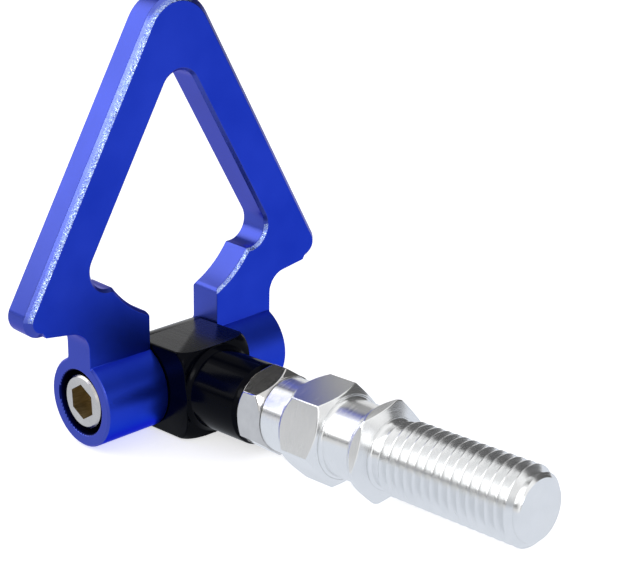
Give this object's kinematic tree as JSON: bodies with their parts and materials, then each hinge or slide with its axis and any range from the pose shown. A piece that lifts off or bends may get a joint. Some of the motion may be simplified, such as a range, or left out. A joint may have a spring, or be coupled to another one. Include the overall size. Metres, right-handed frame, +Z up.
{
  "type": "tow hook",
  "caption": "Folding tow hook: blue three-cornered pull ring pivoting on a black block, with a lock nut and a bright hexagonal adapter that screws into the vehicle.",
  "frame": {"origin": "on the stem's axis, where the full vehicle thread begins, just past its neck", "axes": "+Y from the vehicle out toward the ring's pivot, +Z up with the ring standing, +X along the ring's pivot"},
  "size_m": [0.0936, 0.1302, 0.1094],
  "materials": {
    "ring_blue": "glossy blue anodised, with bright tooled bevels",
    "block_black": "satin black anodised",
    "screw_steel": "bright zinc-plated steel",
    "nut_chrome": "mirror chrome",
    "adapter_bright": "bright turned and polished steel"
  },
  "bodies": {
    "adapter": {"adapter_stud": "adapter_bright"},
    "nut": {"lock_nut": "nut_chrome"},
    "base": {"pivot_block": "block_black", "pivot_screw_left": "screw_steel", "pivot_screw_right": "screw_steel"},
    "ring": {"triangle_ring": "ring_blue"}
  },
  "joints": [
    {"name": "base_swivel", "type": "hinge", "parent": "adapter", "child": "base", "pos_m": [0, 0.0812, 0], "axis": [0, 1, 0], "range_deg": [-180, 180]},
    {"name": "nut_turn", "type": "hinge", "parent": "adapter", "child": "nut", "pos_m": [0, 0.0458, 0], "axis": [0, 1, 0], "continuous": true},
    {"name": "ring_fold", "type": "hinge", "parent": "base", "child": "ring", "pos_m": [0, 0.0812, 0], "axis": [1, 0, 0], "range_deg": [-261.5, 74.5]}
  ]
}
